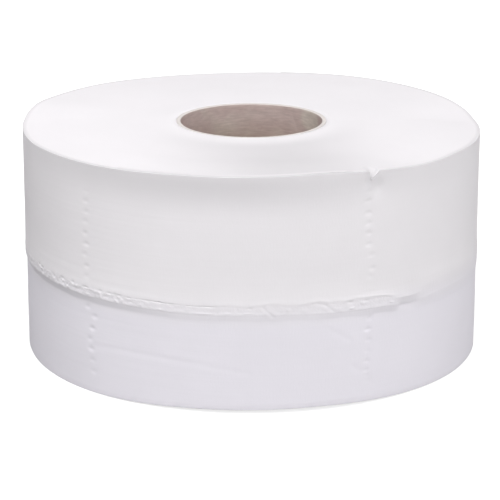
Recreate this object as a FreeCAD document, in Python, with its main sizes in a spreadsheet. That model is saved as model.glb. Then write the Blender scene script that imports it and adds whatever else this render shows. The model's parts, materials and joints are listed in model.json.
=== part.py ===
import FreeCAD, Part
import math
import os

import Sketcher

# A toilet paper roll of the mini jumbo kind, standing on its end.
# +Z is the roll's axis, the origin is the centre of its lower end, and lengths are in millimetres.
# An azimuth is in degrees, from the front of the roll (-Y) towards +X.

os.makedirs("parts", exist_ok=True)
doc = FreeCAD.newDocument("toilet_roll")

sheet = doc.addObject("Spreadsheet::Sheet", "sizes")
driving_sizes = [
    ("roll_radius", 95.0, "outer radius of the wound web"),
    ("roll_width", 94.5, "width of the web, which is the height of the roll"),
    ("rim_facet", 1.4, "how far the rounded rims run in from the side and the end"),
    ("turn_group", 11.0, "width of a group of turns that lie level"),
    ("turn_step", 0.25, "height of the step from one group of turns to the next"),
    ("turn_slope", 0.5, "width of that step"),
    ("core_bore_radius", 29.5, "inner radius of the cardboard tube"),
    ("core_wall", 1.6, "wall of the cardboard tube"),
    ("core_recess", 0.5, "how far each end of the tube lies inside the web"),
    ("core_edge", 0.35, "softened inner edge of the tube's cut ends"),
    ("mouth_slope", 0.5, "slope of the web's inner edge round the tube"),
    ("tail_azimuth", 171.7, "place of the free end of the sheet"),
    ("tail_fade", 60.0, "angle over which the step at the free end fades out"),
    ("tail_shift", 0.6, "how far off centre the turn below the free end lies"),
    ("tail_merge", 0.02, "how far that turn crosses the outer one where they merge"),
    ("undercut_depth", 0.9, "depth of the dark line under the fold's lip"),
    ("undercut_rise", 0.4, "how far that line's bottom lies below the lip"),
    ("undercut_height", 2.5, "height of the undercut, from the lip to the side below it"),
    ("crimp_height", 3.7, "height of the crimped band, from the lip to the crease above it"),
    ("crease_depth", 0.35, "depth of the crease along the top of the crimped band"),
    ("crease_height", 0.9, "height of that crease"),
    ("sheet_angle", 71.4, "angle from one perforation line to the next"),
    ("dent_pitch", 4.3, "spacing of the dents along a perforation line"),
    ("dent_length", 2.2, "length of a dent round the roll"),
    ("dent_height", 2.0, "height of a dent"),
    ("dent_depth", 0.35, "depth of a dent"),
    ("nick_azimuth", 29.0, "place of the torn nick in the upper rim"),
    ("nick_steep", 0.7, "how far the nick's steep edge leans back"),
    ("nick_slope", 3.2, "how far the nick's sloping edge leans out"),
    ("nick_depth", 3.2, "how far the nick runs down the side"),
    ("nick_reach", 1.6, "how far the nick runs in from the side"),
]
for row, (alias, value, meaning) in enumerate(driving_sizes, start=1):
    sheet.set("A%d" % row, alias)
    sheet.set("B%d" % row, str(value))
    sheet.setAlias("B%d" % row, alias)
    sheet.set("C%d" % row, meaning)
doc.recompute()


def size(alias):
    return float(getattr(sheet, alias))


roll_radius = size("roll_radius")
roll_width = size("roll_width")
full_turn = 360.0
axis_point = FreeCAD.Vector(0, 0, 0)
axis_up = FreeCAD.Vector(0, 0, 1)

# Bodies turned about the axis, from outlines whose corners are bound to the sheet


def plane_of(body, role):
    for feature in body.Origin.OriginFeatures:
        if feature.Role == role:
            return feature
    raise RuntimeError("no plane " + role)


def bound_outline(sketch, corners):
    """Closed straight outline through corners, each a pair of expressions on the sheet."""
    points = []
    for across, up in corners:
        points.append(FreeCAD.Vector(sketch.evalExpression(across), sketch.evalExpression(up), 0))
    count = len(points)
    for index, point in enumerate(points):
        sketch.addGeometry(Part.LineSegment(point, points[(index + 1) % count]), False)
    for index in range(count):
        sketch.addConstraint(Sketcher.Constraint("Coincident", index, 2, (index + 1) % count, 1))
    for index, (across, up) in enumerate(corners):
        for kind, value, expression in (
            ("DistanceX", points[index].x, across),
            ("DistanceY", points[index].y, up),
        ):
            number = sketch.addConstraint(Sketcher.Constraint(kind, -1, 1, index, 1, value))
            sketch.setExpression("Constraints[%d]" % number, expression)


def turned_body(name, corners):
    """A body turned about Z from a closed outline of (radius, height) corners."""
    body = doc.addObject("PartDesign::Body", name)
    body.Label = name
    sketch = body.newObject("Sketcher::SketchObject", name + "_section")
    sketch.AttachmentSupport = (plane_of(body, "XZ_Plane"), [""])
    sketch.MapMode = "FlatFace"
    bound_outline(sketch, corners)
    turned = body.newObject("PartDesign::Revolution", name + "_turned")
    turned.Profile = sketch
    turned.ReferenceAxis = (sketch, ["V_Axis"])
    turned.Angle = full_turn
    body.Tip = turned
    return body


# The web as it is wound: its bore, its ends with their groups of turns, and its side
level_groups = 4
web_bore = "(sizes.core_bore_radius + sizes.core_wall)"
rim_corner = "sizes.rim_facet * %.4f" % (1.0 - math.sqrt(0.5))


def end_corners(face, inward):
    """Corners of one end of the web, from its bore to its rim.

    face is the height of the end, and inward is the sign that leads into the web.
    """
    corners = [
        (web_bore, "%s %s sizes.mouth_slope" % (face, inward)),
        (web_bore + " + sizes.mouth_slope", face),
    ]
    level, sunk = face, "%s %s sizes.turn_step" % (face, inward)
    for group in range(1, level_groups + 1):
        border = "%s + sizes.turn_group * %d" % (web_bore, group)
        corners.append((border, level))
        corners.append((border + " + sizes.turn_slope", sunk))
        level, sunk = sunk, level
    corners.append(("sizes.roll_radius - sizes.rim_facet", face))
    corners.append(("sizes.roll_radius - " + rim_corner, "%s %s %s" % (face, inward, rim_corner)))
    corners.append(("sizes.roll_radius", "%s %s sizes.rim_facet" % (face, inward)))
    return corners


web_block = turned_body("web_block", end_corners("0", "+") + end_corners("sizes.roll_width", "-")[::-1])

# The free end of the sheet, at the back: just past it the side lies one thickness further in
sector = doc.addObject("Part::Cylinder", "tail_sector")
sector.setExpression("Radius", "sizes.roll_radius + 1")
sector.setExpression("Height", "sizes.roll_width + 2")
sector.setExpression("Angle", "sizes.tail_fade")
sector.setExpression("Placement.Base.z", "-1")
sector.setExpression("Placement.Rotation.Angle", "sizes.tail_azimuth - 90")

turn_below = doc.addObject("Part::Cylinder", "turn_below_tail")
turn_below.setExpression("Radius", "sizes.roll_radius - sizes.tail_shift + sizes.tail_merge")
turn_below.setExpression("Height", "sizes.roll_width + 4")
merge_azimuth = "(sizes.tail_azimuth + sizes.tail_fade) * 1deg"
turn_below.setExpression("Placement.Base.x", "sizes.tail_shift * sin(%s)" % merge_azimuth)
turn_below.setExpression("Placement.Base.y", "-sizes.tail_shift * cos(%s)" % merge_azimuth)
turn_below.setExpression("Placement.Base.z", "-2")


def cut_away(name, base, tool):
    cut = doc.addObject("Part::Cut", name)
    cut.Base = base
    cut.Tool = tool
    return cut


tail_gap = cut_away("tail_gap", sector, turn_below)
web_with_tail = cut_away("web_with_tail", web_block, tail_gap)

# The fold round the side. Height of its lip: azimuth and height at a few places.
# The front half is as the real roll shows it, and the hidden half joins its two ends gently.
lip_places = [
    (-78, 41.3), (-60, 40.9), (-45, 40.3), (-28, 40.3), (-10, 40.0), (4, 40.3),
    (20, 39.7), (33, 39.3), (46, 38.8), (60, 38.3), (76, 37.4), (105, 37.5),
    (140, 38.3), (180, 39.4), (225, 40.6), (260, 41.3),
]


def point_at(azimuth, radius, height):
    angle = math.radians(azimuth)
    return FreeCAD.Vector(radius * math.sin(angle), -radius * math.cos(angle), height)


def lip_line(radius, rise):
    """Smooth closed line that follows the lip at a given radius, a given height above it."""
    curve = Part.BSplineCurve()
    points = [point_at(azimuth, radius, height + rise) for azimuth, height in lip_places]
    curve.interpolate(Points=points, PeriodicFlag=True)
    return curve


def lip_height(azimuth):
    """Height of the lip at an azimuth, read off its line."""
    line = lip_line(roll_radius, 0.0)
    return line.value(line.parameter(point_at(azimuth, roll_radius, 0.5 * roll_width))).z


def ring_cutter(depth, height, bottom, rise):
    """Three-sided ring that cuts a groove along the lip.

    The groove's upper edge lies at rise above the lip, and its bottom lies bottom below that.
    """
    widening = 2.0
    corners = [
        (roll_radius - depth, rise - bottom),
        (roll_radius + (widening - 1.0) * depth, rise - bottom + bottom * widening),
        (roll_radius + (widening - 1.0) * depth, rise - bottom - (height - bottom) * widening),
    ]
    edges = [lip_line(radius, above).toShape() for radius, above in corners]
    faces = [Part.makeRuledSurface(edges[index], edges[(index + 1) % 3]) for index in range(3)]
    shell = Part.makeShell(faces)
    shell.sewShape()
    ring = Part.Solid(shell)
    if ring.Volume < 0.0:
        ring.reverse()
    return ring


def shaped(name, shape):
    feature = doc.addObject("Part::Feature", name)
    feature.Shape = shape
    return feature


undercut = shaped(
    "undercut",
    ring_cutter(size("undercut_depth"), size("undercut_height"), size("undercut_rise"), 0.0),
)
crease = shaped(
    "crease",
    ring_cutter(
        size("crease_depth"),
        size("crease_height"),
        0.5 * size("crease_height"),
        size("crimp_height") + 0.5 * size("crease_height"),
    ),
)

# Dents of the perforation lines: one shallow sideways V for each cut between the ties of paper.
# The four lines stand one sheet apart, counted back from the free end.
perforation_lines = 4
dents_per_line = 21
band_margin = 2.0


def wedge(section, along, azimuth):
    """Three-sided bar from a section drawn at the front of the roll, turned to its azimuth."""
    bar = Part.Face(Part.makePolygon(section + [section[0]])).extrude(along)
    bar.rotate(axis_point, axis_up, azimuth)
    return bar


def dent(azimuth, height):
    depth = size("dent_depth")
    rise = size("dent_height")
    left = -0.5 * size("dent_length")
    section = [
        FreeCAD.Vector(left, depth - roll_radius, height),
        FreeCAD.Vector(left, -depth - roll_radius, height + rise),
        FreeCAD.Vector(left, -depth - roll_radius, height - rise),
    ]
    return wedge(section, FreeCAD.Vector(size("dent_length"), 0, 0), azimuth)


def perforation_dents():
    bars = []
    first_height = 0.5 * (roll_width - (dents_per_line - 1) * size("dent_pitch"))
    for line in range(perforation_lines):
        azimuth = size("tail_azimuth") - (line + 1) * size("sheet_angle")
        band_foot = lip_height(azimuth) - size("undercut_height") - band_margin
        band_top = lip_height(azimuth) + size("crimp_height") + band_margin
        for step in range(dents_per_line):
            height = first_height + step * size("dent_pitch")
            if not band_foot < height < band_top:
                bars.append(dent(azimuth, height))
    return Part.makeCompound(bars)


dents = shaped("perforation_dents", perforation_dents())

# The small torn nick in the upper rim, steep on one side and sloping on the other
widening = 1.2
nick_bottom = roll_width - size("nick_depth")
nick_top = nick_bottom + size("nick_depth") * widening
nick_front = -1.0 - roll_radius
nick = shaped(
    "rim_nick",
    wedge(
        [
            FreeCAD.Vector(0, nick_front, nick_bottom),
            FreeCAD.Vector(size("nick_slope") * widening, nick_front, nick_top),
            FreeCAD.Vector(-size("nick_steep") * widening, nick_front, nick_top),
        ],
        FreeCAD.Vector(0, size("nick_reach") + 1.0, 0),
        size("nick_azimuth"),
    ),
)

side_cutters = doc.addObject("Part::Compound", "side_cutters")
side_cutters.Links = [undercut, crease, dents, nick]
paper_roll = cut_away("paper_roll", web_with_tail, side_cutters)
paper_roll.Label = "paper_roll"

# The cardboard tube: a ring of board with softened inner edges, a little inside both ends of the web
core_foot = "sizes.core_recess"
core_head = "sizes.roll_width - sizes.core_recess"
core_tube = turned_body(
    "core_tube",
    [
        ("sizes.core_bore_radius", core_foot + " + sizes.core_edge"),
        ("sizes.core_bore_radius + sizes.core_edge", core_foot),
        (web_bore, core_foot),
        (web_bore, core_head),
        ("sizes.core_bore_radius + sizes.core_edge", core_head),
        ("sizes.core_bore_radius", core_head + " - sizes.core_edge"),
    ],
)

doc.recompute()

for item in doc.Objects:
    if "Invalid" in item.State or "Error" in item.State:
        raise RuntimeError("%s failed: %s" % (item.Name, item.State))
for piece in (paper_roll, core_tube):
    if piece.Shape.isNull() or not piece.Shape.isValid() or len(piece.Shape.Solids) != 1:
        raise RuntimeError(piece.Label + " is not one valid solid")

for piece in (paper_roll, core_tube):
    piece.Shape.exportStep("parts/%s.step" % piece.Label)
    box = piece.Shape.BoundBox
    lengths = (box.XLength, box.YLength, box.ZLength)
    print(piece.Label, "%.0f cubic mm," % piece.Shape.Volume, "%.1f x %.1f x %.1f mm" % lengths)
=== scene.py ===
import json
import math

import bpy
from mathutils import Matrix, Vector, noise


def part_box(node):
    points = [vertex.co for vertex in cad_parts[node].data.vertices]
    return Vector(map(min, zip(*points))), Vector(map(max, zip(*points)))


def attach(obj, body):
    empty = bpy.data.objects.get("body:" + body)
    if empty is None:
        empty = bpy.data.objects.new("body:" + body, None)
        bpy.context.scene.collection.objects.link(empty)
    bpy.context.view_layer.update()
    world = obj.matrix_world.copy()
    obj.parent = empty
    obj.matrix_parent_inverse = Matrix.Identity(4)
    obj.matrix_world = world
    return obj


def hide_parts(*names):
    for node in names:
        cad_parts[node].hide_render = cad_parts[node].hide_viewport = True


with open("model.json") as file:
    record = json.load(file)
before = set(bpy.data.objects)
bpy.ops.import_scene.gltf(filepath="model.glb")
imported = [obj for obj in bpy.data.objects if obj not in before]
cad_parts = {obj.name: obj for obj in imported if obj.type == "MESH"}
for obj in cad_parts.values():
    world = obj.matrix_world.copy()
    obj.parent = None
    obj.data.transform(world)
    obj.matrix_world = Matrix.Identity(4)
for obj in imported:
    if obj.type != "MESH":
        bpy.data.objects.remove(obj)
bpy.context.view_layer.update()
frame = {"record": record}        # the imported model: paper_roll and core_tube, both on the body root
print("frame loaded")

mm = 0.001
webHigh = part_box("paper_roll")[1]
coreLow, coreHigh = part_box("core_tube")
rollRadius = webHigh[0] / mm
rollWidth = webHigh[2] / mm
coreOuter = coreHigh[0] / mm

# Azimuths are in degrees from the front of the roll (-Y) towards +X, lengths in mm until a mesh is written.


def deselectAll():
    if bpy.context.object and bpy.context.object.mode != "OBJECT":
        bpy.ops.object.mode_set(mode="OBJECT")
    bpy.ops.object.select_all(action="DESELECT")


def ease(low, high, value):
    # 0 below low, 1 above high, smooth between them
    part = min(max((value - low) / (high - low), 0.0), 1.0)
    return part * part * (3.0 - 2.0 * part)


def hump(value, width):
    # smooth bump of height 1 at 0 that is gone at about twice the width
    return math.exp(-(value / width) ** 2)


def roundPlaces(places, azimuth):
    # smooth line round the roll through a few (azimuth, value) places
    first = places[0][0]
    azimuth = first + (azimuth - first) % 360.0
    count = len(places)
    at = max(i for i in range(count) if places[i][0] <= azimuth)

    def place(i):
        turn, i = divmod(i, count)
        return places[i][0] + 360.0 * turn, places[i][1]

    (a0, v0), (a1, v1), (a2, v2), (a3, v3) = (place(at + k) for k in (-1, 0, 1, 2))
    part = (azimuth - a1) / (a2 - a1)
    slope1 = (v2 - v0) / (a2 - a0) * (a2 - a1)
    slope2 = (v3 - v1) / (a3 - a1) * (a2 - a1)
    square, cube = part ** 2, part ** 3
    return ((2 * cube - 3 * square + 1) * v1 + (cube - 2 * square + part) * slope1
            + (3 * square - 2 * cube) * v2 + (cube - square) * slope2)


def stretch(start, end, count):
    # count steps from start towards end, without the end itself
    return [tuple(s + (e - s) * i / count for s, e in zip(start, end)) for i in range(count)]


def turnedFromSection(name, section, columns, startAzimuth):
    # a closed (radius, height) section, spun once round the axis
    deselectAll()
    bpy.ops.mesh.primitive_circle_add(vertices=len(section), radius=rollRadius * mm)
    piece = bpy.context.object
    piece.name = piece.data.name = name
    angle = math.radians(startAzimuth)
    for vertex, (radius, height) in zip(piece.data.vertices, section):
        vertex.co = (radius * mm * math.sin(angle), -radius * mm * math.cos(angle), height * mm)
    bpy.ops.object.mode_set(mode="EDIT")
    bpy.ops.mesh.select_all(action="SELECT")
    bpy.ops.mesh.spin(steps=columns, angle=2 * math.pi, center=(0, 0, 0), axis=(0, 0, 1),
                      use_auto_merge=True)
    bpy.ops.mesh.select_all(action="SELECT")
    bpy.ops.mesh.remove_doubles(threshold=0.00001)
    bpy.ops.mesh.normals_make_consistent(inside=False)
    bpy.ops.object.mode_set(mode="OBJECT")
    return piece


def rollPlace(co):
    # azimuth, radius and height of a mesh point, in degrees and mm
    return math.degrees(math.atan2(co.x, -co.y)), math.hypot(co.x, co.y) / mm, co.z / mm


def subdivideWhere(piece, cuts, wanted):
    # subdivides the faces whose middle is wanted, as given by azimuth, radius and height
    bpy.ops.object.mode_set(mode="EDIT")
    bpy.ops.mesh.select_all(action="DESELECT")
    bpy.ops.object.mode_set(mode="OBJECT")
    for face in piece.data.polygons:
        face.select = wanted(*rollPlace(face.center))
    bpy.ops.object.mode_set(mode="EDIT")
    bpy.ops.mesh.select_mode(type="FACE")
    bpy.ops.mesh.subdivide(number_cuts=cuts, smoothness=0)
    bpy.ops.object.mode_set(mode="OBJECT")


# The tissue web

web = {
    "columns": 300,             # steps round the roll
    "rowHeight": 2.1,           # rows of the plain side
    "topRim": 0.2,              # roundness of the upper rim
    "rimHold": 0.15,            # narrow rows that keep the rim crisp
    "footRim": 0.3,             # roundness of the lower rim, which the roll stands on
    "ringWidth": 1.8,           # rows of the ends
    "mouthSlope": 0.5,          # softened inner edge round the tube
    "turnGroup": 11.0,          # groups of turns on the ends, as in the solid
    "turnStep": 0.12,
    "bandFoot": 34.8,           # base height of the rows that follow the fold, before they are moved
    "bandHead": 47.4,
    "bandRows": 12,             # rows across the fold
    "fineCuts": 3,              # cuts in each face that carries small shapes
    "sideWave": 0.10,           # broad unevenness of the whole side
    "setbackReach": 28.0,       # the side below the fold comes out again over this height
    "markGain": 0.8,            # strength of the dents and bumps of the crimp
    "sag": 0.25,                # the lip sags by this much at the fold in the middle
    "sagAzimuth": 5.0,
    "endLevel": -0.05,          # the upper end round the tube, against the solid
    "rimFrom": 46.0,            # the upper end runs to its uneven rim between these radii
    "rimTo": 92.0,
    "hollow": 0.6,              # depth of the hollow between tube and rim near the front
    "hollowAzimuth": 8.0,
    "hollowBegins": (33.0, 56.0),   # it deepens between these radii
    "hollowEnds": (58.0, 88.0),     # and is gone between these
    "turnRipple": 0.035,        # fine unevenness of the turns on the end
    "leanHeight": 8.0,          # the upper edge leans out over this height, and half as fast below it
    "tailAzimuth": 171.7,       # free end of the sheet, at the back
    "tailStep": 0.3,            # the turn below the free end lies this much further in
    "tailFade": 60.0,
    "tailCurl": 0.14,           # the free end curls out by this much, over a few degrees
    "tailCurlReach": 5.0,
    "sheetAngle": 71.4,         # from one perforation line to the next
    "dentPitch": 4.3,
    "dentHalf": 1.45,           # half the length of a dent round the roll
    "dentRise": 0.8,            # half its height
    "nickAzimuth": 28.3,
    "nickSteep": 0.8,           # how far the nick's steep edge leans back
    "nickSlope": 4.0,           # how far its sloping edge leans out
    "nickDepth": 3.8,
    "nickReach": 7.5,           # how far it runs in from the side
}

# Round the fold, as (azimuth, value) places

# height of the lip: as in the solid, a little lower where the fold opens near the front
lipPlaces = [
    (-78, 41.3), (-60, 40.9), (-45, 40.3), (-28, 40.3), (-10, 40.0), (4, 40.3), (20, 39.7), (33, 39.2),
    (38, 38.3), (43, 37.9), (49, 38.4), (60, 38.3), (76, 37.4), (105, 37.5), (140, 38.3), (180, 39.4),
    (225, 40.6), (260, 41.3),
]
# height of the crimped band above the lip
bandPlaces = [
    (-78, 3.7), (-62, 3.7), (-48, 4.0), (-36, 3.6), (-20, 3.5), (-8, 3.6), (1, 3.2), (5, 4.1), (9, 3.3),
    (15, 4.2), (19, 3.7), (24, 4.0), (30, 4.4), (36, 3.5), (46, 3.9), (60, 4.2), (76, 4.2), (105, 4.0),
    (140, 3.8), (180, 3.6), (225, 3.7), (260, 3.7),
]
# how rough the crimp is, 1 where the paper is crumpled most
roughPlaces = [
    (-85, 0.4), (-72, 0.8), (-62, 1.0), (-45, 0.9), (-30, 0.6), (-14, 0.3), (2, 0.2), (18, 0.2),
    (30, 0.3), (37, 0.2), (44, 0.0), (80, 0.0), (120, 0.4), (180, 0.6), (230, 0.6),
]
# how far the lip stands out
nosePlaces = [
    (-86, 0.16), (-74, 0.36), (-60, 0.38), (-40, 0.32), (-15, 0.24), (0, 0.26), (12, 0.28), (25, 0.30),
    (34, 0.26), (36.2, 0.18), (38, -0.56), (42, -0.60), (44.5, -0.05), (48, 0.12), (60, 0.18), (80, 0.14),
    (120, 0.2), (200, 0.25),
]
# how far in the side lies just below the fold
setbackPlaces = [
    (-88, 0.25), (-76, 1.00), (-60, 0.95), (-45, 0.65), (-30, 0.40), (-14, 0.14), (0, 0.00), (14, -0.02),
    (24, 0.10), (32, 0.36), (38, 0.50), (42, 0.46), (46, 0.26), (54, 0.22), (66, 0.22), (80, 0.18),
    (130, 0.3), (190, 0.4), (240, 0.4),
]
# how far down the shaded strip below the lip runs
stripPlaces = [
    (-86, 3.0), (-72, 3.1), (-58, 2.8), (-45, 2.6), (-28, 2.5), (-18, 2.6), (-5, 2.4), (8, 2.4),
    (20, 2.3), (32, 2.6), (41, 3.0), (48, 3.6), (60, 4.2), (76, 4.2), (120, 2.4), (180, 2.3), (240, 2.8),
]
# how deep the paper is tucked in right under the lip
gapPlaces = [
    (-86, 0.05), (-76, 0.20), (-60, 0.16), (-45, 0.10), (-30, 0.08), (-15, 0.04), (5, 0.02), (20, 0.03),
    (32, 0.08), (37, 0.02), (41, 0.0), (48, 0.0), (60, 0.0), (80, 0.0), (120, 0.1), (180, 0.15),
    (240, 0.15),
]
# how much the side swells above the band
swellPlaces = [
    (-86, 0.16), (-74, 0.48), (-60, 0.54), (-46, 0.49), (-30, 0.42), (-18, 0.34), (-10, 0.33), (2, 0.36),
    (12, 0.43), (20, 0.43), (26, 0.46), (34, 0.46), (37, 0.34), (43, 0.20), (60, 0.18), (80, 0.12),
    (130, 0.3), (220, 0.40),
]
# how high above the band that swell is fullest, and over what height it fades above
swellPeaks = [
    (-84, 0.5), (-60, 0.5), (-32, 0.5), (-12, 0.5), (5, 1.0), (20, 1.0), (27, 0.8), (36, 0.7), (42, 0.9),
    (50, 2.0), (80, 2.0), (130, 1.0), (220, 0.8),
]
swellReach = [
    (-84, 6.0), (-60, 7.0), (-40, 6.0), (-15, 5.0), (14, 4.2), (24, 3.2), (28, 2.0), (35, 2.0), (40, 3.6),
    (50, 4.5), (70, 4.0), (140, 4.0), (230, 5.0),
]
# how deep the crease along the top of the band is
creasePlaces = [
    (-84, 0.0), (-50, 0.0), (-38, 0.03), (-28, 0.06), (-20, 0.11), (-10, 0.11), (-5, 0.04), (3, 0.01),
    (12, 0.02), (17, 0.05), (21, 0.01), (28, 0.02), (33, 0.05), (36, 0.03), (38, 0.0), (80, 0.0),
    (130, 0.12), (220, 0.06),
]
# how sharp the lip's lower edge is
edgePlaces = [
    (-88, 0.4), (-70, 0.9), (-30, 0.8), (-12, 0.4), (0, 0.25), (14, 0.25), (24, 0.5), (34, 0.6),
    (38, 0.0), (60, 0.0), (85, 0.0), (130, 0.7), (230, 0.8),
]
# how much further out the top of the band stands than its foot, most where the fold opens near the front
leanBandPlaces = [
    (-86, 0.06), (-70, 0.16), (-50, 0.16), (-30, 0.09), (-12, 0.03), (20, 0.03), (35.5, 0.06), (38, 0.92),
    (42, 0.90), (45, 0.14), (50, 0.03), (80, 0.02), (140, 0.10), (230, 0.15),
]
# the soft shoulder above the fold at the right: height above the lip, and how far it stands out
shoulderPlaces = [(34, 9.5), (46, 8.3), (58, 7.8), (66, 6.6), (73, 4.8), (84, 4.4), (200, 6.0)]
shoulderSizes = [
    (30, 0.0), (42, 0.10), (52, 0.26), (66, 0.26), (82, 0.10), (100, 0.0), (210, 0.0), (300, 0.0),
]

# Dents and bumps of the crimp: azimuth, height above the lip, half length, half height, and how far out
crimpMarks = [
    (-63.6, 3.6, 0.7, 0.5, -0.45), (-61.6, 3.3, 0.6, 0.4, -0.35), (-62.2, 1.4, 0.6, 0.5, -0.45),
    (-62.6, 2.5, 0.7, 0.4, 0.30), (-58.4, 1.5, 0.7, 0.5, 0.25), (-55.4, 2.7, 1.2, 0.8, -0.25),
    (-53.0, 0.7, 1.4, 0.4, 0.30), (-51.9, 3.6, 1.1, 0.6, -0.60), (-49.7, 1.0, 1.0, 0.5, 0.35),
    (-49.8, 2.0, 0.5, 0.4, -0.35), (-47.5, 3.6, 0.6, 0.6, -0.50), (-46.2, 2.8, 0.6, 0.6, 0.35),
    (-44.6, 1.9, 0.8, 0.6, -0.20), (-42.9, 3.5, 1.2, 0.35, -0.50), (-42.3, 0.9, 0.9, 0.4, 0.35),
    (-39.6, 2.4, 0.6, 0.9, 0.20), (-38.2, 3.4, 0.5, 0.5, -0.45), (-38.1, 1.3, 0.6, 0.8, 0.45),
    (-35.4, 3.4, 0.8, 0.4, -0.30), (-33.6, 1.0, 0.9, 0.5, 0.20), (-32.7, 3.3, 0.7, 0.4, -0.30),
    (-31.8, 1.5, 0.6, 0.9, 0.30), (-29.9, 3.1, 0.9, 0.35, -0.30), (-29.4, 1.7, 0.7, 0.4, -0.25),
    (-26.6, 1.2, 0.7, 0.8, 0.25), (-25.0, 3.2, 1.0, 0.4, -0.30), (-21.9, 3.4, 1.2, 0.3, -0.35),
    (-21.7, 0.6, 0.7, 0.3, 0.20), (-19.1, 2.9, 1.2, 0.5, -0.18), (-15.0, 1.6, 0.9, 0.5, 0.12),
    (-11.1, 0.6, 3.4, 0.3, 0.12), (-9.7, 3.4, 1.4, 0.3, -0.20), (-8.0, 0.9, 0.4, 0.8, -0.16),
    (-5.4, 1.0, 1.0, 0.4, 0.18), (-3.4, 2.6, 0.4, 0.7, -0.16), (-0.7, 1.0, 1.4, 0.3, 0.16),
    (-0.4, 2.9, 0.7, 0.5, -0.16), (3.6, 1.6, 1.0, 0.9, 0.14), (6.6, 1.2, 0.9, 0.6, -0.12),
    (8.5, 2.0, 0.8, 0.9, 0.20), (12.4, 1.6, 1.3, 0.7, 0.14), (20.6, 1.4, 1.3, 0.8, 0.18),
    (23.5, 3.7, 1.0, 0.6, -0.40), (24.0, 1.2, 1.0, 0.4, 0.32), (26.7, 2.8, 0.6, 0.6, 0.30),
    (27.6, 3.5, 0.8, 0.4, -0.30), (34.9, 1.5, 0.9, 0.25, 0.25),
]
# Folds that run slanting down through the band: azimuth and height above the lip of both ends
bandFolds = [
    ((2.6, 3.2), (5.0, -0.6), 0.13), ((15.4, 4.2), (17.4, 3.3), 0.09), ((17.4, 3.3), (19.4, 0.6), 0.11),
    ((-33.8, 3.4), (-32.4, 0.2), 0.14), ((-53.8, 3.4), (-51.4, 1.6), 0.18),
]
# Soft creases in the lower half: azimuth and height of their points, and depth
lowCreases = [
    ([(-42.5, 19.7), (-33.0, 21.3), (-24.5, 21.4), (-12.0, 19.7), (-0.6, 16.7)], 0.05),
    ([(18.5, 32.9), (23.7, 27.8)], 0.045),
    ([(24.3, 17.0), (29.2, 10.6)], 0.045),
]

# Dents of the two perforation lines at the front: height, azimuth and depth
frontDents = [
    (83.2, -42.3, 0.16), (79.2, -42.6, 0.30), (75.0, -42.5, 0.22), (71.0, -42.9, 0.20),
    (66.1, -43.0, 0.34), (61.8, -42.7, 0.36), (57.5, -43.4, 0.24), (52.8, -42.7, 0.40),
    (48.7, -42.7, 0.32), (35.9, -43.0, 0.50), (32.5, -40.7, 0.46), (27.4, -41.5, 0.50),
    (22.7, -42.3, 0.36), (18.7, -41.9, 0.46), (14.2, -41.6, 0.24), (9.4, -41.2, 0.30), (87.0, 28.3, 0.18),
    (83.1, 28.1, 0.30), (78.3, 28.1, 0.46), (74.3, 28.2, 0.32), (70.3, 28.2, 0.36), (65.9, 28.3, 0.34),
    (61.4, 29.0, 0.28), (56.0, 29.4, 0.40), (52.9, 28.8, 0.28), (35.7, 28.9, 0.42), (31.3, 28.4, 0.38),
    (26.9, 28.7, 0.30), (22.4, 28.5, 0.18), (18.4, 28.3, 0.26), (14.7, 28.0, 0.28), (10.2, 28.2, 0.18),
]

# The wound edges aren't quite level: height of the upper rim, and lift of the lower one
topRimPlaces = [
    (-150, 94.5), (-135, 95.0), (-117, 95.3), (-106, 95.8), (-98, 95.2), (-90, 94.1), (-68, 93.7),
    (-57, 94.1), (-45, 94.3), (-30, 94.8), (-18, 95.35), (-4, 95.5), (8, 95.7), (18, 95.7), (26, 94.9),
    (35, 94.1), (45, 93.1), (58, 93.3), (68, 92.8), (90, 92.1), (97, 91.9), (107, 93.3), (116, 94.1),
    (128, 94.6), (150, 95.0), (190, 94.1),
]
footRimPlaces = [
    (-100, 0.1), (-60, 0.0), (-45, 0.0), (-25, 0.85), (-14, 1.45), (0, 1.75), (15, 1.9), (25, 1.5),
    (36, 0.85), (50, 0.35), (64, 0.05), (120, 0.1), (190, 0.0),
]
# how far the upper edge of the side leans out
leanPlaces = [
    (-90, 0.0), (-58, 0.2), (-34, 1.2), (-14, 2.0), (3, 2.0), (18, 1.4), (30, 0.9), (50, 0.4), (80, 0.0),
    (180, 0.2),
]
# how much painted shade darkens the side just under the upper edge
edgeShade = [
    (-88, 0.0), (-62, 0.16), (-42, 0.40), (-12, 0.48), (4, 0.40), (20, 0.30), (40, 0.22), (60, 0.08),
    (80, 0.0), (200, 0.0),
]
# how the paper is bent in beside the nick: place across it and half width, place below the rim and half
# height, and depth
nickDents = [(3.8, 2.6, 6.8, 3.6, 0.70), (-2.2, 1.4, 4.4, 2.4, 0.35)]


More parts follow.
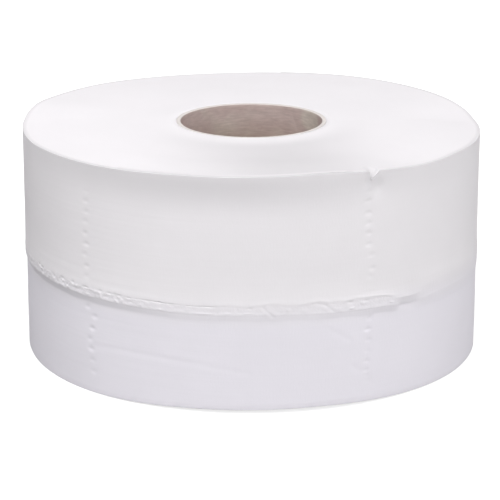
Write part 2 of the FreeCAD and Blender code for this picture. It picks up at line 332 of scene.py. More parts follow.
def webSection():
    # the closed outline of the wound paper, from the lower rim up the side and back through the bore
    foot, top = web["footRim"], web["topRim"]
    arcSteps = 4                # corners of each rounded rim
    points = []
    for step in range(arcSteps):
        angle = 0.5 * math.pi * step / arcSteps
        points.append((rollRadius - foot + foot * math.sin(angle), foot - foot * math.cos(angle)))
    lowerRows = round((web["bandFoot"] - foot) / web["rowHeight"])
    upperRows = round((rollWidth - top - web["bandHead"]) / web["rowHeight"])
    points += stretch((rollRadius, foot), (rollRadius, web["bandFoot"]), lowerRows)
    points += stretch((rollRadius, web["bandFoot"]), (rollRadius, web["bandHead"]), web["bandRows"])
    hold = web["rimHold"]
    points += stretch((rollRadius, web["bandHead"]), (rollRadius, rollWidth - top - hold), upperRows)
    points += stretch((rollRadius, rollWidth - top - hold), (rollRadius, rollWidth - top), 1)
    for step in range(arcSteps):
        angle = 0.5 * math.pi * step / arcSteps
        points.append((rollRadius - top + top * math.cos(angle), rollWidth - top + top * math.sin(angle)))
    slope = web["mouthSlope"]
    rings = round((rollRadius - top - coreOuter) / web["ringWidth"])
    points += stretch((rollRadius - top, rollWidth), (rollRadius - top - hold, rollWidth), 1)
    points += stretch((rollRadius - top - hold, rollWidth), (coreOuter + slope, rollWidth), rings)
    points += stretch((coreOuter + slope, rollWidth), (coreOuter, rollWidth - slope), 1)
    points += stretch((coreOuter, rollWidth - slope), (coreOuter, slope), 4)
    points += stretch((coreOuter, slope), (coreOuter + slope, 0.0), 1)
    points += stretch((coreOuter + slope, 0.0), (rollRadius - foot, 0.0), rings // 3)
    return points


def lineDistance(azimuth, line):
    # distance round the side from a line at that azimuth, in mm
    turn = (azimuth - line + 180.0) % 360.0 - 180.0
    return math.radians(turn) * rollRadius


def strokeDistance(azimuth, height, start, end):
    # distance in mm from a straight stroke between two (azimuth, height) places on the side
    x, y = lineDistance(azimuth, start[0]), height - start[1]
    runX, runY = lineDistance(end[0], start[0]), end[1] - start[1]
    part = (x * runX + y * runY) / (runX ** 2 + runY ** 2)
    part = min(max(part, 0.0), 1.0)
    return math.hypot(x - part * runX, y - part * runY)


def crumple(azimuth, height, grain, seed):
    # even noise on the side, from about -1 to 1, with bumps about as large as the grain
    angle = math.radians(azimuth)
    spot = Vector((rollRadius * math.sin(angle), rollRadius * math.cos(angle), height))
    return noise.noise(spot / grain + Vector((seed, seed * 2.0, seed * 3.0))) * 1.6


def bandHeight(azimuth):
    return roundPlaces(bandPlaces, azimuth) + 0.25 * crumple(azimuth, 0.0, 6.0, 31.0)


def bandOutline(azimuth):
    # (rows, height above the lip, offset) of each corner of the section across the fold
    band = bandHeight(azimuth)
    rough = roundPlaces(roughPlaces, azimuth)
    gap = max(roundPlaces(gapPlaces, azimuth), 0.02)
    strip = roundPlaces(stripPlaces, azimuth) + 0.3 * crumple(azimuth, 0.0, 9.0, 37.0)
    nose = roundPlaces(nosePlaces, azimuth)
    swell = max(roundPlaces(swellPlaces, azimuth), 0.0)
    peak = band + max(roundPlaces(swellPeaks, azimuth), 0.35)
    reach = roundPlaces(swellReach, azimuth)
    edge = roundPlaces(edgePlaces, azimuth)
    crease = max(roundPlaces(creasePlaces, azimuth), 0.0) * (0.9 + 0.9 * crumple(azimuth, 0.0, 3.0, 41.0))
    low = -roundPlaces(setbackPlaces, azimuth)
    droop = 0.20 * rough * crumple(azimuth, 0.0, 3.4, 3.0)
    droop += web["sag"] * hump(lineDistance(azimuth, web["sagAzimuth"]), 1.2)
    lean = roundPlaces(leanBandPlaces, azimuth)
    bandTop = nose + 0.02 + lean
    # the swell starts at the top of the band, at once where it is close, slowly where it is high
    start = bandTop + (swell - bandTop) * 0.45 / (peak - band + 0.45)
    return [
        (0, -strip - 2.6, low),
        (3, -strip, low),
        (3, -0.64 * strip, low + 0.38 * (nose - low) - 0.35 * gap),
        (3, -0.32 * strip, low + 0.72 * (nose - low) - 0.6 * gap),
        (3, -0.25 - droop, nose - 0.03 - edge * (0.09 + 0.5 * gap) + 0.12 * lean),
        (2, 0.05 - droop, nose + 0.20 * lean),
        (3, 0.60 - 0.5 * droop, nose + 0.03 + 0.36 * lean),
        (4, 1.4, nose - 0.01 + 0.60 * lean),
        (8, band - 0.5, bandTop),
        (2, band - 0.05, start - crease),
        (4, 0.5 * (band + peak), 0.4 * start + 0.6 * swell),
        (4, peak, swell),
        (4, peak + 0.4 * reach, 0.60 * swell),
        (5, peak + reach, 0.22 * swell),
    ]


def bandSection(azimuth, along):
    # offset and height above the lip, for a row that lies along (0 to 1) across the fold
    band = bandHeight(azimuth)
    rough = roundPlaces(roughPlaces, azimuth)
    outline = bandOutline(azimuth)
    row = along * (web["fineCuts"] + 1) * web["bandRows"]
    for (_, riseA, offsetA), (rows, riseB, offsetB) in zip(outline, outline[1:]):
        if row <= rows + 1e-6:
            break
        row -= rows
    part = row / rows
    rise = riseA + (riseB - riseA) * part
    offset = offsetA + (offsetB - offsetA) * part
    # puckers and the fine waffle of the crimp, strongest in the middle of the band
    inBand = ease(-0.35, 0.4, rise) * (1.0 - ease(band - 0.7, band + 0.5, rise))
    puckers = crumple(azimuth, rise * 1.3, 2.6, 7.0)
    waffle = crumple(azimuth, rise, 1.1, 11.0)
    offset += inBand * rough * (0.09 * puckers + 0.07 * waffle)
    rise += inBand * rough * 0.2 * crumple(azimuth, rise, 2.6, 17.0)
    for place, up, halfLength, halfHeight, out in crimpMarks:
        across = lineDistance(azimuth, place) / halfLength
        if abs(across) < 2.2:
            offset += web["markGain"] * out * hump(across, 1.0) * hump((rise - up) / halfHeight, 1.0)
    for start, end, depth in bandFolds:
        near = strokeDistance(azimuth, rise, start, end)
        offset -= 0.7 * depth * hump(near, 0.5)
        if near < 3.0:
            offset += 0.3 * depth * hump(near - 1.2, 0.8)
    return offset, rise


def leanOut(azimuth, height):
    # the upper edge of the side leans out: steadily near the rim, fading below
    reach = web["leanHeight"]
    below = (rollWidth - height) / reach
    part = (1.5 - max(below, 0.0)) if below < 1.0 else 0.5 * max(2.0 - below, 0.0) ** 2
    return max(roundPlaces(leanPlaces, azimuth), 0.0) * part / 1.5


def sideWaves(azimuth, height):
    # broad unevenness of the whole side, and the soft shoulder at the right
    offset = web["sideWave"] * crumple(azimuth, height, 42.0, 1.0)
    offset += 0.3 * web["sideWave"] * crumple(azimuth, height * 3.0, 16.0, 5.0)
    shoulder = roundPlaces(shoulderPlaces, azimuth) if 30 < azimuth < 120 else 8.0
    above = height - roundPlaces(lipPlaces, azimuth) - shoulder
    out = max(roundPlaces(shoulderSizes, azimuth), 0.0)
    return offset + out * hump(above, 5.0 if above < 0.0 else 3.2)


def sideOffset(azimuth, height):
    # how far the plain side stands in or out
    offset = sideWaves(azimuth, height)
    rise = height - roundPlaces(lipPlaces, azimuth)
    band = roundPlaces(bandPlaces, azimuth)
    if rise < 0.0:
        offset -= roundPlaces(setbackPlaces, azimuth) * (1.0 - 0.6 * ease(3.0, web["setbackReach"], -rise))
    else:
        swell = max(roundPlaces(swellPlaces, azimuth), 0.0)
        reach = roundPlaces(swellReach, azimuth)
        fade = band + max(roundPlaces(swellPeaks, azimuth), 0.35) + reach
        offset += 0.22 * swell * (1.0 - ease(fade, fade + 1.2 * reach, rise))
    offset += leanOut(azimuth, height)
    offset -= dentDepth(azimuth, height)
    for points, depth in lowCreases:
        near = min(strokeDistance(azimuth, height, a, b) for a, b in zip(points, points[1:]))
        if near < 5.0:
            offset += depth * (0.5 * hump(near - 2.2, 1.6) - hump(near, 1.1))
    return offset


def perforationDents():
    # every cut between the ties of paper leaves a dent: measured at the front, evenly spaced at the back
    dents = list(frontDents)
    for number in (1, 4):
        line = web["tailAzimuth"] - number * web["sheetAngle"]
        for place in range(20):
            height = 6.0 + place * web["dentPitch"]
            lip = roundPlaces(lipPlaces, line)
            if not lip - 4.0 < height < lip + 7.5:
                chance = noise.noise(Vector((7.3 * number, 3.1 * place, 0.5)))
                dents.append((height + 0.4 * chance, line + 0.5 * chance, 0.32 + 0.14 * chance))
    return dents


dents = perforationDents()


def dentDepth(azimuth, height):
    # how deep the perforation lines press the side in
    depth = 0.0
    for place, line, deep in dents:
        if abs(height - place) < 2.4:
            across = lineDistance(azimuth, line)
            if abs(across) < 4.0:
                up = height - place + 0.4
                depth += 0.7 * deep * hump(across, web["dentHalf"]) * hump(up, web["dentRise"])
    return depth


def endShift(azimuth, radius):
    # the upper end runs from the tube to its uneven rim, hollows a little near the front and shows its turns
    level = web["endLevel"]
    rim = roundPlaces(topRimPlaces, azimuth) - rollWidth
    shift = level + (rim - level) * ease(web["rimFrom"], web["rimTo"], radius)
    aside = lineDistance(azimuth, web["hollowAzimuth"]) / rollRadius
    inHollow = ease(*web["hollowBegins"], radius) * (1.0 - ease(*web["hollowEnds"], radius))
    shift -= web["hollow"] * hump(aside, 0.5) * inHollow
    group = (radius - coreOuter) / web["turnGroup"]
    shift -= web["turnStep"] * (0.5 - 0.5 * math.cos(math.pi * group)) * ease(0.0, 0.4, group)
    angle = math.radians(azimuth)
    spot = Vector((radius / 2.6, 0.4 * math.sin(angle), 0.4 * math.cos(angle)))
    return shift + web["turnRipple"] * noise.noise(spot)


def nickFloor(across, rim, depth):
    # height of the nick's lopsided V, steep on its left
    reach = web["nickSlope"] if across > 0 else web["nickSteep"]
    return rim - depth * max(0.0, 1.0 - abs(across) / reach)


def shapeWeb(piece):
    tail = web["tailAzimuth"]
    foot, head = web["bandFoot"], web["bandHead"]
    for vertex in piece.data.vertices:
        azimuth, radius, height = rollPlace(vertex.co)
        pastTail = (azimuth - tail) % 360.0
        if pastTail < 0.01 or pastTail > 359.99:
            pastTail = 0.0
        onSide = ease(rollRadius - 7.0, rollRadius - 0.8, radius)
        rimTop = roundPlaces(topRimPlaces, azimuth)
        offset, newHeight = 0.0, height
        if radius > coreOuter + 0.01 and radius > rollRadius - web["footRim"] - 0.01:
            # rows of the side follow the fold between the two rims
            lip = roundPlaces(lipPlaces, azimuth)
            rimFoot = roundPlaces(footRimPlaces, azimuth)
            if height <= foot + 1e-4:
                bandLow = lip + bandSection(azimuth, 0.0)[1]
                newHeight = rimFoot + (bandLow - rimFoot) * height / foot
                offset = sideOffset(azimuth, newHeight)
            elif height < head - 1e-4:
                offset, rise = bandSection(azimuth, (height - foot) / (head - foot))
                newHeight = lip + rise
                offset += sideWaves(azimuth, newHeight) - dentDepth(azimuth, newHeight)
            else:
                bandHigh = lip + bandSection(azimuth, 1.0)[1]
                newHeight = bandHigh + (rimTop - bandHigh) * (height - head) / (rollWidth - head)
                offset = sideOffset(azimuth, newHeight)
        elif height > 0.5 * rollWidth and height > rollWidth - web["mouthSlope"] - 0.01:
            newHeight = height + endShift(azimuth, radius)
            offset = leanOut(azimuth, rollWidth) * ease(rollRadius - 14.0, rollRadius, radius)
            onSide = 1.0
        elif radius > coreOuter + 0.01:
            rimFoot = roundPlaces(footRimPlaces, azimuth)
            newHeight = height + rimFoot * ease(rollRadius - 22.0, rollRadius - 2.0, radius)
        # the turn below the free end lies one sheet further in, and the free end curls out a little
        if pastTail > 0.0:
            offset -= web["tailStep"] * (1.0 - ease(0.0, web["tailFade"], pastTail))
        before = (tail - azimuth) % 360.0
        if before < web["tailCurlReach"]:
            offset += web["tailCurl"] * (1.0 - before / web["tailCurlReach"]) ** 2
        # the first column past the free end is drawn close to it, and the torn edge wanders a little
        firstStep = 360.0 / web["columns"]
        if 0.0 < pastTail <= firstStep + 0.01:
            azimuth -= 0.8 * pastTail
        nearTail = 1.0 - ease(0.0, 4.0, min(pastTail, before))
        azimuth += nearTail * (0.22 * noise.noise(Vector((0, 0, height / 14.0)))
                               + 0.06 * noise.noise(Vector((0, 5.0, height / 2.5))))
        # the nick in the upper rim, with the paper bent in beside it
        across = lineDistance(azimuth, web["nickAzimuth"])
        if -9.0 < across < 12.0 and newHeight > rollWidth - 14.0 and radius > rollRadius - 8.0:
            depth = web["nickDepth"] * ease(rollRadius - web["nickReach"], rollRadius - 0.5, radius)
            newHeight = min(newHeight, max(nickFloor(across, rimTop, depth), newHeight - depth))
            below = rimTop - newHeight
            for place, halfWidth, down, halfHeight, deep in nickDents:
                offset -= deep * hump(across - place, halfWidth) * hump(below - down, halfHeight)
        angle = math.radians(azimuth)
        newRadius = radius + offset * onSide
        vertex.co = (newRadius * mm * math.sin(angle), -newRadius * mm * math.cos(angle), newHeight * mm)


def fineArea(azimuth, radius, height):
    # the faces that carry small shapes: the fold, the perforation lines, the low creases and the nick
    if radius < rollRadius - 4.0:
        return False
    if abs(lineDistance(azimuth, web["nickAzimuth"])) < 6.0 and height > rollWidth - 8.0:
        return True
    if radius < rollRadius - 1.0:
        return False
    if web["bandFoot"] < height < web["bandHead"]:
        return True
    if any(abs(height - place) < 3.0 and abs(lineDistance(azimuth, line)) < 2.8 for place, line, _ in dents):
        return True
    for points, _ in lowCreases:
        if min(strokeDistance(azimuth, height, a, b) for a, b in zip(points, points[1:])) < 3.2:
            return True
    return False


webPiece = turnedFromSection("tissue_web", webSection(), web["columns"], web["tailAzimuth"])
print("web spun:", len(webPiece.data.polygons), "faces")
subdivideWhere(webPiece, web["fineCuts"], fineArea)
print("web subdivided:", len(webPiece.data.polygons), "faces")
shapeWeb(webPiece)
bpy.ops.object.shade_smooth()
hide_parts("paper_roll")
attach(webPiece, "root")
print("web shaped")

# The cardboard tube

tube = {
    "columns": 240,
    "edge": 0.35,               # softened inner edge of the cut ends
    "seamAzimuth": 146.5,       # where the seam of the inner ply leaves the upper end
    "seamSlope": 2.3,           # rise of the seam along the wall, as a steep spiral
    "seamGap": 0.10,            # depth of the gap between the ply's edges
    "seamStep": 0.06,           # one edge of the ply stands this much prouder
    "headLift": 0.4,            # the cut end stands this much above the solid's, flush with the paper
    "wave": 0.06,               # broad and fine unevenness of the wall
    "ripple": 0.03,
    "fur": 0.10,                # the cut ends are furred by this much
}
tubeFoot, tubeHead = coreLow[2] / mm, coreHigh[2] / mm + tube["headLift"]
tubeInner = next(mount for mount in frame["record"]["mounts"] if mount["name"] == "core_bore")["dims"]["r_mm"]


def tubeSection():
    edge = tube["edge"]
    points = stretch((tubeInner, tubeFoot + edge), (tubeInner, tubeHead - edge), 78)
    points += stretch((tubeInner, tubeHead - edge), (tubeInner + 0.3 * edge, tubeHead - 0.3 * edge), 1)
    points += stretch((tubeInner + 0.3 * edge, tubeHead - 0.3 * edge), (tubeInner + edge, tubeHead), 1)
    points += stretch((tubeInner + edge, tubeHead), (coreOuter, tubeHead), 3)
    points += stretch((coreOuter, tubeHead), (coreOuter, tubeFoot), 6)
    points += stretch((coreOuter, tubeFoot), (tubeInner + edge, tubeFoot), 3)
    points += stretch((tubeInner + edge, tubeFoot), (tubeInner + 0.3 * edge, tubeFoot + 0.3 * edge), 1)
    points += stretch((tubeInner + 0.3 * edge, tubeFoot + 0.3 * edge), (tubeInner, tubeFoot + edge), 1)
    return points


def seamDistance(azimuth, height):
    # distance from the inner ply's seam, across it, in mm: above it positive
    turn = (azimuth - tube["seamAzimuth"] + 180.0) % 360.0 - 180.0
    pitch = tube["seamSlope"] * 2 * math.pi * tubeInner
    rise = height - tubeHead - tube["seamSlope"] * math.radians(turn) * tubeInner
    rise = (rise + 0.5 * pitch) % pitch - 0.5 * pitch
    return rise * math.cos(math.atan(tube["seamSlope"]))


def shapeTube(piece):
    for vertex in piece.data.vertices:
        azimuth, radius, height = rollPlace(vertex.co)
        spot = vertex.co / mm
        inside = 1.0 - ease(tubeInner + 0.1, coreOuter - 0.3, radius)
        across = seamDistance(azimuth, height)
        out = tube["seamGap"] * hump(across, 0.7) - tube["seamStep"] * ease(-6.0, -0.3, across) * (across < 0)
        out += tube["wave"] * noise.noise(spot / 9.0) + tube["ripple"] * noise.noise(spot / 2.2)
        radius += inside * out
        if abs(height - tubeHead) < 0.05 or abs(height - tubeFoot) < 0.05:
            inward = -1.0 if height > 0.5 * tubeHead else 1.0
            height += inward * tube["fur"] * abs(noise.noise(spot / 1.1)) * (radius < coreOuter - 0.05)
        angle = math.radians(azimuth)
        vertex.co = (radius * mm * math.sin(angle), -radius * mm * math.cos(angle), height * mm)


tubePiece = turnedFromSection("board_tube", tubeSection(), tube["columns"], 0.0)
shapeTube(tubePiece)
bpy.ops.object.shade_smooth()
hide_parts("core_tube")
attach(tubePiece, "root")
print("tube shaped:", len(tubePiece.data.polygons), "faces")

# Materials


def hexColour(code):
    # sRGB hex to the linear colour that a shader takes
    values = [int(code[i:i + 2], 16) / 255.0 for i in (1, 3, 5)]
    return [v / 12.92 if v <= 0.04045 else ((v + 0.055) / 1.055) ** 2.4 for v in values] + [1.0]


def perMetre(grain):
    # pattern scale for a grain of that many mm
    return 1.0 / (grain * mm)


def addNode(tree, kind, inputs=None, **settings):
    # inputs gives each named socket a value, or another node's output to link
    made = tree.nodes.new(kind)
    for name, value in settings.items():
        setattr(made, name, value)
    for socket, value in (inputs or {}).items():
        if isinstance(value, bpy.types.NodeSocket):
            tree.links.new(value, made.inputs[socket])
        else:
            made.inputs[socket].default_value = value
    return made


def newMaterial(name):
    material = bpy.data.materials.new(name)
    material.use_nodes = True
    tree = material.node_tree
    return material, tree, tree.nodes["Principled BSDF"]


def stretched(tree, vector, grains, turn=0.0):
    # pattern coordinates with a grain of so many mm along each axis, turned in degrees
    scale = [perMetre(grain) for grain in grains] + [1.0] * (3 - len(grains))
    inputs = {"Vector": vector, "Scale": scale, "Rotation": (0.0, 0.0, math.radians(turn))}
    return addNode(tree, "ShaderNodeMapping", inputs).outputs["Vector"]


def noiseOn(tree, vector, scale, detail, roughness=0.5):
    inputs = {"Vector": vector, "Scale": scale, "Detail": detail, "Roughness": roughness}
    return addNode(tree, "ShaderNodeTexNoise", inputs).outputs["Fac"]


def ranged(tree, value, low, high, toLow=0.0, toHigh=1.0):
    # value between low and high, turned to toLow to toHigh
    inputs = {"Value": value, "From Min": low, "From Max": high, "To Min": toLow, "To Max": toHigh}
    return addNode(tree, "ShaderNodeMapRange", inputs).outputs["Result"]


def colours(tree, factor, first, second, blend="MIX"):
    inputs = {"Factor": factor, "A": first, "B": second}
    return addNode(tree, "ShaderNodeMix", inputs, data_type="RGBA", blend_type=blend).outputs["Result"]


def combined(tree, operation, *values):
    return addNode(tree, "ShaderNodeMath", dict(enumerate(values)), operation=operation).outputs["Value"]


def valueOf(tree, name):
    # the value that the mesh carries under that name
    return addNode(tree, "ShaderNodeAttribute", attribute_name=name).outputs["Fac"]


def bumpOver(tree, height, depth, below=None):
    # bump of that depth in mm, over another one's normal
    inputs = {"Height": height, "Strength": 1.0, "Distance": depth * mm}
    if below is not None:
        inputs["Normal"] = below
    return addNode(tree, "ShaderNodeBump", inputs).outputs["Normal"]


def unroll(piece, seamAzimuth):
    # UV map of the unrolled sheet in metres: along the turn, and up the side and over the ends
    mesh = piece.data
    layer = mesh.uv_layers.new(name="unrolled")
    for face in mesh.polygons:
        middle = (rollPlace(face.center)[0] - seamAzimuth) % 360.0
        for corner in face.loop_indices:
            azimuth, radius, height = rollPlace(mesh.vertices[mesh.loops[corner].vertex_index].co)
            turn = (azimuth - seamAzimuth - middle + 180.0) % 360.0 - 180.0 + middle
            inFromSide = rollRadius - radius
            along = height + inFromSide if height > 0.5 * rollWidth else height - inFromSide
            layer.data[corner].uv = (math.radians(turn) * rollRadius * mm, along * mm)


def mark(piece, name, valueAt):
    # a value at each point of the mesh, for the material
    layer = piece.data.attributes.new(name, "FLOAT", "POINT")
    for vertex in piece.data.vertices:
        layer.data[vertex.index].value = valueAt(*rollPlace(vertex.co))


def crimpAt(azimuth, radius, height):
    rise = height - roundPlaces(lipPlaces, azimuth)
    band = roundPlaces(bandPlaces, azimuth)
    inBand = ease(-0.6, 0.3, rise) * (1.0 - ease(band - 0.6, band + 0.4, rise))
    return inBand * roundPlaces(roughPlaces, azimuth) * (radius > rollRadius - 2.0)


# Painted shade: where and how strongly the tissue colour is darkened to stand in for shade
paintedShade = {
    "azimuth": 9.5,             # middle of the patch of painted shade in the upper end near the front
    "halfWidth": 38.0,
    "begins": 32.0,             # it starts between these radii
    "full": 46.0,
    "inNick": 1.25,             # painted shade in the nick, against the patch
    # painted shade along the upper rim, laid over the rim's highlight
    "onRim": 0.7,
    "edgeReach": 14.0,          # how far the painted shade under the upper edge runs down
}


def paintedShadeAt(azimuth, radius, height):
    # painted shade: how much the tissue colour is darkened, in the upper end near the front, in the nick,
    # along the upper rim and under the upper edge
    if height < 0.5 * rollWidth:
        return 0.0
    rim = roundPlaces(topRimPlaces, azimuth)
    fromEdge = rollRadius + leanOut(azimuth, rollWidth) - radius
    across = lineDistance(azimuth, web["nickAzimuth"])
    bottom = nickFloor(across, rim, web["nickDepth"])
    inNick = paintedShade["inNick"] * hump(across - 1.0, 3.0) * ease(bottom - 0.5, bottom - 0.1, height)
    inNick *= ease(0.1, 1.1, fromEdge) * (1.0 - ease(5.5, 8.0, fromEdge))
    onRim = paintedShade["onRim"] * hump(fromEdge - 0.35, 0.3) * ease(rim - 0.3, rim - 0.05, height)
    if radius > rollRadius - 1.0:
        underEdge = max(roundPlaces(edgeShade, azimuth), 0.0)
        underEdge *= ease(rim - paintedShade["edgeReach"], rim - 1.0, height)
        return max(underEdge + onRim, inNick)
    onTop = ease(rollWidth - 4.0, rollWidth - 2.2, height)
    onTop *= 1.0 - ease(rollRadius - 1.0, rollRadius + 0.5, radius)
    onTop *= ease(paintedShade["begins"], paintedShade["full"], radius)
    aside = math.radians(azimuth - paintedShade["azimuth"]) * radius
    atFront = hump(aside, paintedShade["halfWidth"]) * (math.cos(math.radians(azimuth)) > 0)
    return max(onTop * atFront + onRim, inNick)


unroll(webPiece, web["tailAzimuth"])
mark(webPiece, "crimp", crimpAt)
# painted shade: the value at each point that darkens the tissue colour
mark(webPiece, "loose", paintedShadeAt)

tissue = {
    "lower": "#EDEAF1",         # the lower half is a touch bluer than the upper one
    "upper": "#EEEBEE",
    "changes": (34.0, 46.0),    # heights between which it changes
    "looseShade": 0.195,        # painted shade: how much darker the tissue colour is drawn where that value is 1
    "patchiness": 0.02,         # the sheet varies this much in whiteness
    "patches": 22.2,            # size of its paler and darker places
    "streaks": (83.3, 2.38),    # winding streaks, along the sheet and across it
    "streakDepth": 0.06,
    "crepe": (0.714, 2.38),     # about 0.3 mm on the real sheet, drawn coarser so that it shows at all
    "crepeDepth": 0.03,
    "crimpGrid": (0.909, 0.909),
    "gridTurn": 38.0,
    "gridDepth": 0.10,
    "roughness": 0.95,
    "specular": 0.15,
}


def creasedTissue():
    # Bleached two-ply tissue, creped dry: a matt, slightly fibrous white with faint winding streaks, and
    # painted shade in places
    material, tree, shader = newMaterial("creped_tissue")
    sheetMap = addNode(tree, "ShaderNodeUVMap", uv_map="unrolled").outputs["UV"]
    place = addNode(tree, "ShaderNodeTexCoord").outputs["Object"]
    height = addNode(tree, "ShaderNodeSeparateXYZ", {"Vector": place}).outputs["Z"]
    low, high = tissue["changes"]
    sheet = colours(tree, ranged(tree, height, low * mm, high * mm),
                    hexColour(tissue["lower"]), hexColour(tissue["upper"]))
    # painted shade: the tissue colour is darkened by the value that the mesh carries for it
    shade = combined(tree, "MULTIPLY_ADD", valueOf(tree, "loose"), -tissue["looseShade"], 1.0)
    patches = noiseOn(tree, place, perMetre(tissue["patches"]), 3.0)
    patchy = ranged(tree, patches, 0.0, 1.0, 1.0 - tissue["patchiness"], 1.0 + tissue["patchiness"])
    tone = colours(tree, 1.0, sheet, combined(tree, "MULTIPLY", shade, patchy), "MULTIPLY")
    # creped and wound in streaks, with the crimping wheel's fine grid where the fold is crimped
    streaks = noiseOn(tree, stretched(tree, sheetMap, tissue["streaks"]), 1.0, 2.0)
    crepe = noiseOn(tree, stretched(tree, sheetMap, tissue["crepe"]), 1.0, 3.0)
    gridMap = stretched(tree, sheetMap, tissue["crimpGrid"], tissue["gridTurn"])
    grid = addNode(tree, "ShaderNodeTexVoronoi", {"Vector": gridMap, "Scale": 1.0, "Randomness": 0.6})
    crimped = combined(tree, "MULTIPLY", grid.outputs["Distance"], valueOf(tree, "crimp"))
    relief = bumpOver(tree, streaks, tissue["streakDepth"])
    relief = bumpOver(tree, crepe, tissue["crepeDepth"], relief)
    relief = bumpOver(tree, crimped, tissue["gridDepth"], relief)
    tree.links.new(tone, shader.inputs["Base Color"])
    tree.links.new(relief, shader.inputs["Normal"])
    shader.inputs["Roughness"].default_value = tissue["roughness"]
    shader.inputs["Specular IOR Level"].default_value = tissue["specular"]
    return material


board = {
    "pink": ("#B39E9A", "#CCBCB7"),     # darker and paler spots of the pinkish board
    "grey": ("#C0B4AB", "#D8CEC5"),     # and of its greyer places
    "mottle": 6.67,
    "places": 16.7,
    "placesFrom": (0.55, 0.72),         # part of the pattern that turns grey
    "greyest": 0.6,
    "fibres": (3.85, 3.85, 0.667),      # they lie round the tube
    "fibreTones": (0.90, 1.08),         # they darken and lighten it between these
    "fibreDepth": 0.1,
    "brown": "#D8D2C9",                 # painted shade: darkens and warms the wall further down the bore
    "browns": (90.0, 76.0),             # heights between which that painted shade comes in
    "cutEnd": "#DDD7D4",
    "patch": (121.0, 90.5),             # azimuth and height of a greyer patch beside the seam
    "patchSize": (7.5, 5.5),            # half its width and height
    "roughness": 0.9,
    "specular": 0.2,
}


def greyBoard():
    # Recycled core board, spiral wound and unprinted: dull pinkish grey-brown, mottled by its mixed fibres
    material, tree, shader = newMaterial("recycled_core_board")
    place = addNode(tree, "ShaderNodeTexCoord").outputs["Object"]
    height = addNode(tree, "ShaderNodeSeparateXYZ", {"Vector": place}).outputs["Z"]
    mottle = noiseOn(tree, place, perMetre(board["mottle"]), 4.0, 0.6)
    pink, grey = (colours(tree, mottle, hexColour(board[name][0]), hexColour(board[name][1]))
                  for name in ("pink", "grey"))
    places = noiseOn(tree, place, perMetre(board["places"]), 3.0)
    greyPlaces = ranged(tree, places, *board["placesFrom"], 0.0, board["greyest"])
    greyer = combined(tree, "MAXIMUM", greyPlaces, valueOf(tree, "greyPatch"))
    fibres = noiseOn(tree, stretched(tree, place, board["fibres"]), 1.0, 4.0)
    streaked = ranged(tree, fibres, 0.3, 0.7, *board["fibreTones"])
    fibred = colours(tree, 1.0, colours(tree, greyer, pink, grey), streaked, "MULTIPLY")
    # further down the bore the wall is drawn darker and a little browner, which is painted shade; the cut
    # ends are paler, furred with torn fibre
    paintedBoreShade = colours(tree, 1.0, fibred, hexColour(board["brown"]), "MULTIPLY")
    high, low = board["browns"]
    wall = colours(tree, ranged(tree, height, high * mm, low * mm), fibred, paintedBoreShade)
    tone = colours(tree, valueOf(tree, "cutEnd"), wall, hexColour(board["cutEnd"]))
    tree.links.new(tone, shader.inputs["Base Color"])
    tree.links.new(bumpOver(tree, fibres, board["fibreDepth"]), shader.inputs["Normal"])
    shader.inputs["Roughness"].default_value = board["roughness"]
    shader.inputs["Specular IOR Level"].default_value = board["specular"]
    return material


def cutEndAt(azimuth, radius, height):
    # 1 on both cut ends of the tube
    return ease(tubeHead - 0.3, tubeHead - 0.1, height) + 1.0 - ease(tubeFoot + 0.1, tubeFoot + 0.3, height)


def greyPatchAt(azimuth, radius, height):
    # a greyer patch beside the seam, high on the wall
    patchAzimuth, patchHeight = board["patch"]
    halfWidth, halfHeight = board["patchSize"]
    across = math.radians(azimuth - patchAzimuth) * tubeInner
    return ease(0.25, 0.6, hump(across, halfWidth) * hump(height - patchHeight, halfHeight))


mark(tubePiece, "cutEnd", cutEndAt)
mark(tubePiece, "greyPatch", greyPatchAt)

webPiece.data.materials.clear()
webPiece.data.materials.append(creasedTissue())
tubePiece.data.materials.clear()
tubePiece.data.materials.append(greyBoard())
print("materials made")

# Floor, camera and light

deselectAll()
bpy.ops.mesh.primitive_plane_add(size=8.0, location=(0, 0, 0))
floor = bpy.context.object
floor.name = "floor"

sweep = {
    "colour": "#B4B4B4",        # what it throws back at the roll
    "nearLift": 0.75,           # the camera sees it lifted to white, a little less close to the roll
    "near": 0.10,
    "far": 0.5,
}


def paleFloor():
    # matt white paper sweep: the camera sees it lifted to white, with the roll's shadow kept
    material, tree, shader = newMaterial("white_sweep")
    shader.inputs["Base Color"].default_value = hexColour(sweep["colour"])
    shader.inputs["Roughness"].default_value = 1.0
    shader.inputs["Specular IOR Level"].default_value = 0.0
    rays = addNode(tree, "ShaderNodeLightPath").outputs
    seen = combined(tree, "MAXIMUM", rays["Is Camera Ray"], rays["Is Glossy Ray"])
    place = addNode(tree, "ShaderNodeTexCoord").outputs["Object"]
    away = addNode(tree, "ShaderNodeVectorMath", {0: place}, operation="LENGTH").outputs["Value"]
    white = ranged(tree, away, sweep["near"], sweep["far"], sweep["nearLift"], 1.0)
    shader.inputs["Emission Color"].default_value = (1.0, 1.0, 1.0, 1.0)
    tree.links.new(combined(tree, "MULTIPLY", seen, white), shader.inputs["Emission Strength"])
    return material


floor.data.materials.append(paleFloor())

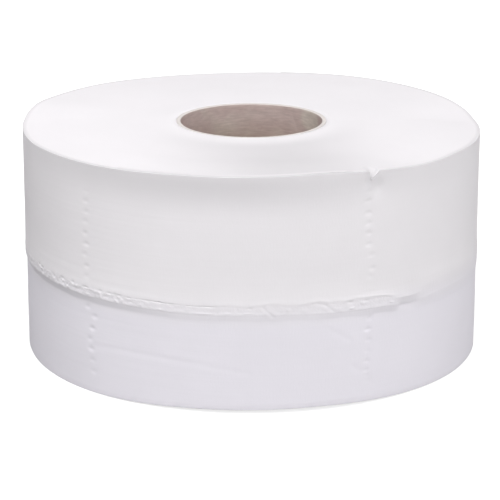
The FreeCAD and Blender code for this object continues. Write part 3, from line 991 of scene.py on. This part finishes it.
view = {
    "elevation": 16.94,         # degrees above the horizon
    "distance": 0.900,          # metres from the point that it looks at
    "lookAt": (-0.00056, 0.0, 0.03766),
    "lens": 152.6,              # mm
}
cameraData = bpy.data.cameras.new("camera")
camera = bpy.data.objects.new("camera", cameraData)
bpy.context.collection.objects.link(camera)
tilt = math.radians(view["elevation"])
back = Vector((0, -math.cos(tilt), math.sin(tilt)))
camera.location = Vector(view["lookAt"]) + back * view["distance"]
camera.rotation_euler = (0.5 * math.pi - tilt, 0, 0)
cameraData.lens = view["lens"]
bpy.context.scene.camera = camera

worldLight = 0.08               # the camera sees the backdrop white, the roll gets only this much
world = bpy.data.worlds.new("studio")
bpy.context.scene.world = world
world.use_nodes = True
worldTree = world.node_tree
surround = worldTree.nodes["Background"]
surround.inputs["Color"].default_value = (1.0, 1.0, 1.0, 1.0)
worldRays = addNode(worldTree, "ShaderNodeLightPath").outputs
seenDirectly = combined(worldTree, "MAXIMUM", worldRays["Is Camera Ray"], worldRays["Is Glossy Ray"])
strength = addNode(worldTree, "ShaderNodeMix", {"Factor": seenDirectly, "A": worldLight, "B": 1.0})
worldTree.links.new(strength.outputs["Result"], surround.inputs["Strength"])

# soft boxes: azimuth and elevation as seen from the roll, distance and size in metres, power in watts
lamps = [
    ("frontKey", 10.0, 38.0, 1.5, 1.0, 12.3),
    ("frontHigh", 10.0, 63.0, 1.4, 0.9, 3.2),
    ("upperLeft", -40.0, 50.0, 1.5, 1.0, 5.3),
    ("leftFill", -80.0, 30.0, 1.5, 1.0, 1.2),
    ("topLeft", -75.0, 62.0, 1.0, 0.8, 3.2),
    ("rightFill", 90.0, 18.0, 1.5, 1.0, 7.3),
    ("backFill", 180.0, 15.0, 1.6, 1.2, 4.0),
]


def softBox(name, azimuth, elevation, distance, size, power):
    data = bpy.data.lights.new(name, "AREA")
    data.size = size
    data.energy = power
    lamp = bpy.data.objects.new(name, data)
    bpy.context.collection.objects.link(lamp)
    a, e = math.radians(azimuth), math.radians(elevation)
    aim = Vector((0, 0, 0.05))
    toLamp = Vector((math.sin(a) * math.cos(e), -math.cos(a) * math.cos(e), math.sin(e)))
    lamp.location = aim + distance * toLamp
    lamp.rotation_euler = (aim - lamp.location).to_track_quat("-Z", "Y").to_euler()


for lamp in lamps:
    softBox(*lamp)
bpy.context.scene.view_settings.view_transform = "Standard"
print("camera and light set")
